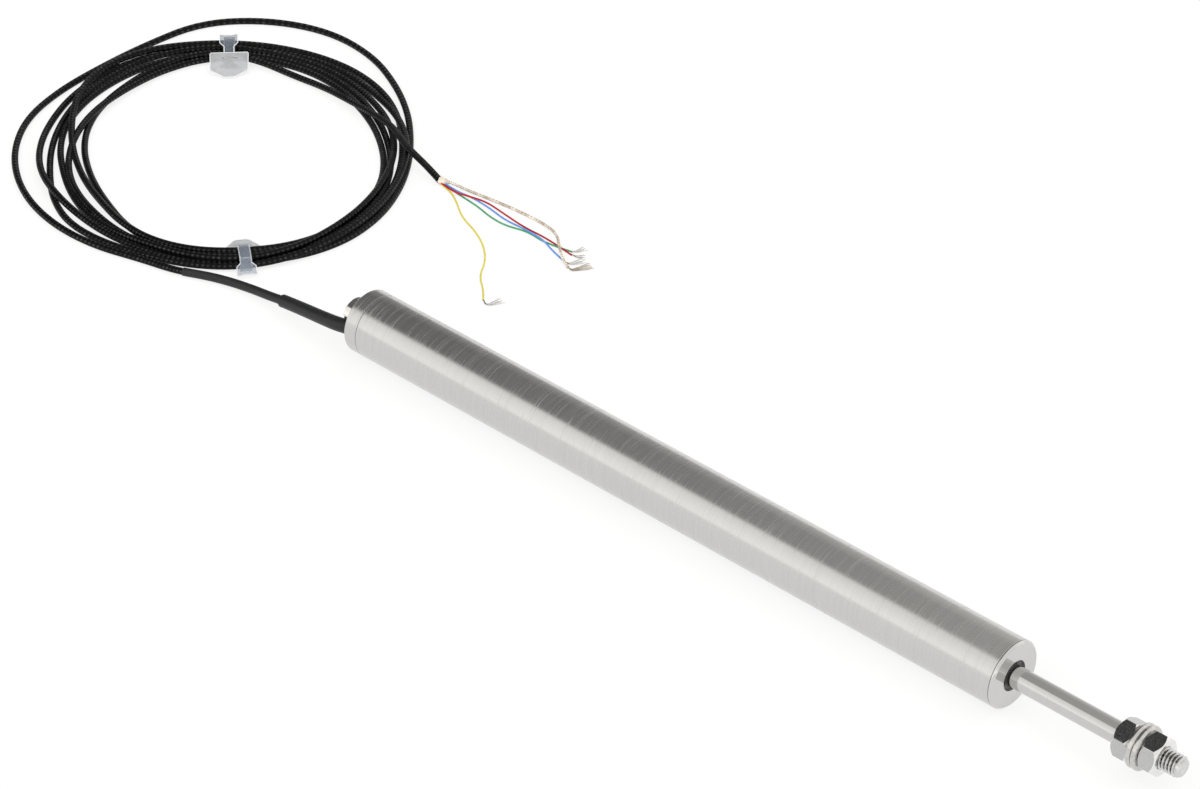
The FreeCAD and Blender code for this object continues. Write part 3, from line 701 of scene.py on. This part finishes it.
# Places between two of those where a turn lies further in or out: turn, place, change of radius, spread
SHIFTS = [(0, 4.5, -2.4, 0.3), (5, 4.5, 0.9, 0.3), (1, 4.5, 2.4, 0.45), (2, 4.5, 1.8, 0.45),
          (3, 4.5, 1.4, 0.45)]
LIFT_SPREAD = 0.5
CLIP_SPREAD = 0.35
CLIP_SHEET = 0.5        # thickness of a clip's plate and strap
TAB_SHEET = 0.3
CLIP_PLACES = (5.2, 11.0)   # where the clips' straps pass under the turns


def between(values, place):
    """A smooth value between the listed ones."""
    i = int(math.floor(place))
    t = place - i
    p = [values[min(max(i + k, 0), len(values) - 1)] for k in (-1, 0, 1, 2)]
    return 0.5 * (2 * p[1] + (p[2] - p[0]) * t + (2 * p[0] - 5 * p[1] + 4 * p[2] - p[3]) * t * t
                  + (3 * p[1] - p[0] - 3 * p[2] + p[3]) * t ** 3)


def hump(off, wide):
    """1 at the middle of a smooth hump and almost 0 at twice its spread."""
    return math.exp(-(off / wide) ** 2)


def polar(angle, radius, z):
    """A point given by its angle and distance from the coil's middle."""
    a = math.radians(angle)
    return (COIL_CENTRE[0] + radius * math.cos(a), COIL_CENTRE[1] + radius * math.sin(a), z)


def coil_points():
    """Control points of the coil, two for each place."""
    radii = [r for turn in COIL_RADII for r in turn]
    heights = [h for turn in COIL_HEIGHTS for h in turn]
    points = []
    for half in range(2 * len(radii) - 1):
        place = half / 2
        r = between(radii, place)
        for turn, at, change, wide in SHIFTS:
            r += change * hump(place - PLACES * turn - at, wide)
        r /= CURVE_SHARE
        z = between(heights, place)
        for turn, at, height in LIFTS:
            z += height * hump(place - PLACES * turn - at, LIFT_SPREAD)
        if r < OUTER_LOOP:
            for at in CLIP_PLACES:
                off = (place - at + PLACES / 2) % PLACES - PLACES / 2
                z += CLIP_SHEET * hump(off, CLIP_SPREAD)
        points.append(polar(COIL_START - 360.0 / PLACES * place, r, max(z, REST)))
    return points


def cable_points():
    """The whole route: both sleeves' stretches, the coil, the rise over the turns and the tail."""
    rise = [polar(68, 48.6, -5.9), polar(56, 51.6, -4.8)]
    return LARGE_SLEEVE + SMALL_SLEEVE + coil_points() + rise + TAIL


def path_length(points):
    return sum((Vector(b) - Vector(a)).length for a, b in zip(points, points[1:]))


def sleeve_piece(name, line, radii, material, sharp=40.0):
    """A sleeve along a stretch of a cord's own line, with its radii from one end to the other."""
    count = len(line) - 1
    widths = [between(radii, i / count * (len(radii) - 1)) for i in range(len(line))]
    return add_object(name, tube_mesh(name, line, widths), material, sharp)


def strand_routes(route, count, parting):
    """The same short route for each strand, parting more and more towards the end."""
    out = []
    along = (Vector(route[-1]) - Vector(route[-2])).normalized()
    side = along.cross(Vector((0, 0, 1))).normalized()
    for i in range(count):
        off = (i / (count - 1) - 0.5) * parting
        points = []
        for step, p in enumerate(route):
            share = STRAND_SHARES[step]
            end = along * 0.7 * math.sin(2.4 * i) * share
            lift = 0.1 + 0.25 * share * (1 + math.sin(1.7 * i + 0.6))
            points.append(Vector(p) + side * off * share + end + Vector((0, 0, lift)))
        out.append(points)
    return out


# Clips

def clip_material(name, dark, light, alpha):
    """Milky nylon: part of what lies under it shows through."""
    mat, tree, shader = new_material(name)
    shader.inputs["Alpha"].default_value = alpha
    vector = scaled_coords(tree, (1.0, 1.0, 1.0))
    cloud = noise(tree, vector, 300.0)
    tree.links.new(mixed(tree, spread(tree, cloud, 0.0, 1.0), dark, light), shader.inputs["Base Color"])
    tree.links.new(spread(tree, cloud, 0.28, 0.42), shader.inputs["Roughness"])
    return mat


CLIP_PLATE = clip_material("clip_plate", (0.45, 0.46, 0.48), (0.52, 0.53, 0.55), 0.66)
CLIP_STRAP = clip_material("clip_strap", (0.27, 0.31, 0.38), (0.33, 0.37, 0.44), 0.38)
# Painted shade: the far clip's strap is the same nylon as the near clip's, made darker
PAINTED_SHADE_STRAP = clip_material("clip_strap_far_painted_shade", (0.14, 0.17, 0.21), (0.18, 0.21, 0.25), 0.38)
CLIP_RIM = clip_material("clip_rim", (0.82, 0.83, 0.84), (0.90, 0.91, 0.92), 0.85)


def placed(x, z, tilt, turn=0.0):
    """From a sheet's own plane to the clip: x towards the coil's middle, z up from the surface."""
    return (Matrix.Translation(Vector((x, 0, z)) * MM) @ Matrix.Rotation(math.radians(turn), 4, "Z")
            @ Matrix.Rotation(math.radians(tilt), 4, "Y"))


def strap_line(off):
    """The strap's loop round the bundle as (x, z), a little outside its inner face."""
    half = 3.8
    height = 4.1
    bend = 1.0
    steps = 6
    low_z = bend + CLIP_SHEET
    high_z = height - bend + CLIP_SHEET
    line = []
    for cx, cz, start in ((half - bend, high_z, 90), (half - bend, low_z, 0), (bend - half, low_z, -90),
                          (bend - half, high_z, -180)):
        for s in range(steps + 1):
            a = math.radians(start - 90 * s / steps)
            line.append((cx + (bend + off) * math.cos(a), cz + (bend + off) * math.sin(a)))
    return line


def clip_strap(name):
    """The closed loop round the bundle."""
    width = 1.7
    verts, faces = [], []
    for inner, outer in zip(strap_line(0.0), strap_line(CLIP_SHEET)):
        for y, (x, z) in ((-width, inner), (width, inner), (width, outer), (-width, outer)):
            verts.append((x, y, z))
    count = len(verts) // 4
    for i in range(count):
        j = (i + 1) % count
        for p in range(4):
            q = (p + 1) % 4
            faces.append([i * 4 + p, i * 4 + q, j * 4 + q, j * 4 + p])
    return mesh_from(name, verts, faces)


def with_looks(mesh, flat_index, rim_axis, at_rim):
    """Sets the material slots of a clip's sheet: flat_index for its two sides, and 2 for its rim."""
    for poly in mesh.polygons:
        across = abs(poly.normal[rim_axis])
        poly.material_index = 2 if (across > 0.7) == at_rim else flat_index
    return mesh


def mirrored(points):
    """An outline from its half on one side of the middle line."""
    return points + [(x, -y) for x, y in reversed(points)]


def bead(name, points):
    """The thickened rim of a sheet, along a closed line."""
    curve = bpy.data.curves.new(name, "CURVE")
    curve.dimensions = "3D"
    curve.bevel_depth = 0.17 * MM
    curve.bevel_resolution = 1
    closed_line(curve, points)
    temp = linked(name, curve)
    mesh = final_mesh(temp)
    bpy.data.objects.remove(temp)
    for poly in mesh.polygons:
        poly.material_index = 2
    return mesh


def rim_line(outline):
    """An outline drawn in a little, at the sheet's upper side."""
    inset = 0.1
    height = 0.18
    middle = sum(x for x, y in outline) / len(outline)
    return [(x + (inset if x < middle else -inset), y - math.copysign(inset, y), height) for x, y in outline]


def coil_clip(name, angle, radius, plate, shoulder, reach, tee, tee_length, strap):
    """Strap round the bundle, slotted head plate on the coil's inner side, and the strap's tee end.

    The plate reaches as far as reach and narrows beyond shoulder, a share of that.
    """
    narrowing = reach * shoulder
    head_outline = mirrored([(0, -5.8), (0.3, -6.1), (narrowing, -6.0), (narrowing + 0.6, -5.6),
                             (reach - 0.7, -2.6), (reach - 0.1, -1.6)])
    slot_outline = mirrored([(1.95, -2.8), (2.38, -2.5)])
    tab_outline = mirrored([(2.3, -1.55), (4.6, -1.55), (5.6, -2.9), (6.5, -2.9)])
    tee_outline = mirrored([(-1.5, -1.6), (tee_length - 4.1, -1.6), (tee_length - 2.9, -2.9),
                            (tee_length - 0.3, -2.95), (tee_length, -2.8), (tee_length - 0.3, -1.4)])
    head = flat_sheet(name + "_head", [head_outline, slot_outline], CLIP_SHEET)
    tab = flat_sheet(name + "_tab", [tab_outline], TAB_SHEET)
    end = flat_sheet(name + "_tee", [tee_outline], CLIP_SHEET)
    shape = bmesh.new()
    shape.from_mesh(with_looks(clip_strap(name + "_strap"), 1, 1, True))
    for y in (-1.6, 1.6):
        shape.from_mesh(bead(name + "_edge", [(x, y, z) for x, z in strap_line(0.3)]))
    above = Matrix.Translation(Vector((0, 0, CLIP_SHEET / 2)) * MM)
    for mesh, look, move in ((head, 0, placed(*plate)), (tab, 0, placed(*plate) @ above),
                             (end, 1, placed(*tee))):
        with_looks(mesh, look, 2, False)
        mesh.transform(move)
        shape.from_mesh(mesh)
    for outline, move in ((head_outline, plate), (tee_outline, tee)):
        rim = bead(name + "_rim", rim_line(outline))
        rim.transform(placed(*move))
        shape.from_mesh(rim)
    bmesh.ops.recalc_face_normals(shape, faces=shape.faces)
    out = bpy.data.meshes.new(name)
    shape.to_mesh(out)
    shape.free()
    out.transform(Matrix.Translation(Vector(polar(angle, radius, FLOOR)) * MM)
                  @ Matrix.Rotation(math.radians(angle) + math.pi, 4, "Z"))
    looks = [poly.material_index for poly in out.polygons]
    clip = add_object(name, out, CLIP_PLATE, 40.0)
    clip.data.materials.append(strap)
    clip.data.materials.append(CLIP_RIM)
    clip.data.polygons.foreach_set("material_index", looks)
    return clip


# Build

SLEEVE_OVERLAP = 1.5    # how far the small sleeve reaches into the large one
WEAVE_PER_MM = 2.17     # the jacket's weave along the cable, in radians for each millimetre

made = body_pieces()
made["cable_boss"] = boss_piece()
made["push_rod"] = threaded_rod("push_rod_skin", ROD_STEEL)
ON_ROD = ("push_rod", "inner_nut", "outer_nut", "inner_washer", "outer_washer")
for name, obj in made.items():
    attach(obj, "rod" if name in ON_ROD else "transducer_body")
    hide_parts(name)

points = cable_points()
length = path_length(points) * CURVE_SHARE
line = line_points(points[:len(LARGE_SLEEVE) + len(SMALL_SLEEVE) + 2])
large = sleeve_piece("large_sleeve_skin", [p for p in line if p.x > LARGE_END],
                     (2.15, 2.1, 2.02, 1.97, 1.93), SLEEVE)
small = sleeve_piece("small_sleeve_skin", [p for p in line if LARGE_END + SLEEVE_OVERLAP > p.x > SMALL_END],
                     (1.36, 1.34, 1.32, 1.3, 1.25), SLEEVE)
far_clip = coil_clip("far_clip_skin", 136.4, 62.0, (4.6, 3.9, 20.0), 0.68, 10.2,
                     (3.6, 4.6, -49.0, 180.0), 4.9, PAINTED_SHADE_STRAP)
near_clip = coil_clip("near_clip_skin", -37.2, 59.4, (3.5, 0.85, 0.0), 0.42, 8.9,
                      (-3.9, 3.5, 38.0, 180.0), 4.1, CLIP_STRAP)
# The jacket's light colour is a painted highlight: glints on the crowns of the near-black threads
JACKET = braided("cable_jacket", (0.0015, 0.0015, 0.0016), (0.060, 0.060, 0.062), length * WEAVE_PER_MM,
                 2 * math.pi * 2.5, 0.45, 0.0001, (0.1, 1.0), 0.12)
cable = cord_curve("cable", [points], CABLE_D, JACKET)
for obj in (large, small, far_clip, near_clip, cable):
    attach(obj, "transducer_body")
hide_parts("large_sleeve")
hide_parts("small_sleeve")
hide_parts("far_coil_clip")
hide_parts("near_coil_clip")
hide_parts("cable_coil", "cable_tail")
tuple(v * MM for v in LARGE_SLEEVE[0])
print("cable length", round(length, 1))

for name, (route, material) in WIRES.items():
    wire = cord_curve(name + "_skin", [route], WIRE_D, material, 10)
    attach(wire, "transducer_body")
    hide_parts(name)
    tuple(v * MM for v in route[0])
    path_length(route) * MM
SCREEN_BRAID = braided("screen_wire", (0.36, 0.28, 0.20), (0.86, 0.80, 0.70), 200.0, 2 * math.pi * 1.5,
                       0.4, 0.00008, (-0.9, -0.1), 0.3)
screen = cord_curve("screen_braid_skin", [SCREEN], SCREEN_D, SCREEN_BRAID, 10)
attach(screen, "transducer_body")
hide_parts("screen_braid")
tuple(v * MM for v in SCREEN[0])
path_length(SCREEN) * MM

for name, (route, count, parting, thickness) in STRAND_ENDS.items():
    material = SCREEN_BRAID if name == "screen_strands" else STRANDS
    bare = cord_curve(name, strand_routes(route, count, parting), thickness, material)
    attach(bare, "transducer_body")
COLLAR = [(-162.6, 75.3, -8.05), (-161.0, 75.7, -8.2), (-159.6, 76.4, -8.3)]
collar = sleeve_piece("screen_collar", line_points(COLLAR), (1.06, 1.28, 1.12, 1.2, 0.85, 0.4),
                      SCREEN_BRAID, 30.0)
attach(collar, "transducer_body")

CAD_LOOKS = {
    "front_cap_o_ring": SEAL_RUBBER, "guide_bush": BUSH_PLASTIC, "wiper_seal": WIPER,
    "rear_cap_o_ring": SEAL_RUBBER, "cable_grommet": GROMMET, "bore_liner": INNER_STEEL,
    "bobbin": BOBBIN_PLASTIC, "primary_winding": COPPER, "insulation_layer": TAPE,
    "winding_divider": BOBBIN_PLASTIC, "front_secondary_winding": COPPER, "rear_secondary_winding": COPPER,
    "magnetic_shield": SHIELD_ALLOY, "rear_spacer": BOBBIN_PLASTIC, "terminal_board": LAMINATE,
    "terminal_pins": BRASS, "inner_leads": COPPER, "inner_cable": GROMMET, "front_guide_ring": RING_PLASTIC,
    "rear_guide_ring": RING_PLASTIC, "core": CORE_ALLOY, "core_spacer": INNER_STEEL, "core_nut": NUT_STEEL,
}
for name, material in CAD_LOOKS.items():
    nodes[name].data.materials.clear()
    nodes[name].data.materials.append(material)


# Stage, light and camera

FLOOR_HALF = 20000.0
FLOOR_WHITE = 0.8       # share of plain white in what the camera, metal and glass see of the floor
HORIZON = 1.04          # brightness of the room's horizon


def stage_floor():
    """A pale floor that is white to look at and keeps the object's shadow."""
    corners = [(x * FLOOR_HALF, y * FLOOR_HALF, FLOOR) for x, y in ((-1, -1), (1, -1), (1, 1), (-1, 1))]
    mesh = mesh_from("floor", corners, [[0, 1, 2, 3]])
    mat, tree, shader = new_material("floor_paper")
    shader.inputs["Base Color"].default_value = (0.95, 0.95, 0.95, 1.0)
    shader.inputs["Roughness"].default_value = 0.9
    shader.inputs["Specular IOR Level"].default_value = 0.1
    white = node(tree, "ShaderNodeEmission")
    path = node(tree, "ShaderNodeLightPath")
    mirrored_or_seen = node(tree, "ShaderNodeMath", operation="MAXIMUM")
    seen = node(tree, "ShaderNodeMath", operation="MAXIMUM")
    share = node(tree, "ShaderNodeMath", operation="MULTIPLY")
    share.inputs[1].default_value = FLOOR_WHITE
    mix = node(tree, "ShaderNodeMixShader")
    tree.links.new(path.outputs["Is Camera Ray"], mirrored_or_seen.inputs[0])
    tree.links.new(path.outputs["Is Glossy Ray"], mirrored_or_seen.inputs[1])
    tree.links.new(mirrored_or_seen.outputs[0], seen.inputs[0])
    tree.links.new(path.outputs["Is Transmission Ray"], seen.inputs[1])
    tree.links.new(seen.outputs[0], share.inputs[0])
    tree.links.new(share.outputs[0], mix.inputs[0])
    tree.links.new(shader.outputs[0], mix.inputs[1])
    tree.links.new(white.outputs[0], mix.inputs[2])
    tree.links.new(mix.outputs[0], tree.nodes["Material Output"].inputs["Surface"])
    floor = linked("floor", mesh)
    floor.data.materials.append(mat)


def area_lamp(name, place, aim, width, depth, power):
    """A soft lamp that metal doesn't mirror."""
    data = bpy.data.lights.new(name, "AREA")
    data.shape = "RECTANGLE"
    data.size, data.size_y = width, depth
    data.energy = power
    lamp = linked(name, data)
    lamp.location = place
    lamp.rotation_euler = (Vector(aim) - Vector(place)).to_track_quat("-Z", "Y").to_euler()
    lamp.visible_glossy = False


def studio_world():
    """A bright window low in front, a room that is dimmer beyond the rear end, and a white horizon."""
    world = bpy.data.worlds.new("studio")
    world.use_nodes = True
    tree = world.node_tree
    background = tree.nodes["Background"]
    coords = node(tree, "ShaderNodeTexCoord")
    split = node(tree, "ShaderNodeSeparateXYZ")
    tree.links.new(coords.outputs["Generated"], split.inputs[0])
    x, y, z = split.outputs
    # Each step gives the brightness on its two sides, then the directions between which it changes
    room = spread(tree, x, 0.14, 1.0, -0.61, -0.20)
    back = spread(tree, y, 0.0, 0.2, 0.55, 0.9)
    both = node(tree, "ShaderNodeMath", operation="ADD")
    tree.links.new(room, both.inputs[0])
    tree.links.new(back, both.inputs[1])
    window = spread(tree, z, 1.4, 1.1, 0.1, 0.7)
    front = spread(tree, y, 0.0, 1.0, -0.34, -0.46)
    level = node(tree, "ShaderNodeMix", data_type="FLOAT")
    tree.links.new(front, level.inputs[0])
    tree.links.new(both.outputs[0], level.inputs[2])
    tree.links.new(window, level.inputs[3])
    horizon = node(tree, "ShaderNodeMix", data_type="FLOAT")
    tree.links.new(spread(tree, z, 1.0, 0.0, 0.06, 0.13), horizon.inputs[0])
    tree.links.new(level.outputs[0], horizon.inputs[2])
    horizon.inputs[3].default_value = HORIZON
    tint = node(tree, "ShaderNodeMix", data_type="RGBA", blend_type="MULTIPLY")
    tint.inputs[0].default_value = 1.0
    tree.links.new(horizon.outputs[0], tint.inputs[6])
    tint.inputs[7].default_value = (1.0, 0.985, 0.965, 1.0)
    tree.links.new(tint.outputs[2], background.inputs["Color"])
    background.inputs["Strength"].default_value = 1.0
    bpy.context.scene.world = world


stage_floor()
studio_world()
area_lamp("key", (-0.35, -0.75, 1.25), (-0.05, 0.02, 0.0), 1.0, 0.8, 5.0)
area_lamp("top", (0.1, 0.35, 1.6), (-0.05, 0.03, 0.0), 1.6, 1.2, 5.0)

# The camera's place, angle and lens were found from the photograph's perspective
camera_data = bpy.data.cameras.new("camera")
camera_data.sensor_width = 36.0
camera_data.lens = 119.179
camera_data.clip_end = 60.0
camera = linked("camera", camera_data)
camera.matrix_world = Matrix((
    (0.7304166, -0.3941085, 0.5578262, 0.565872),
    (0.6830019, 0.4214679, -0.5965511, -0.632911),
    (0.0, 0.8167272, 0.5770240, 0.629823),
    (0.0, 0.0, 0.0, 1.0)))
bpy.context.scene.camera = camera
bpy.context.scene.view_settings.view_transform = "Standard"
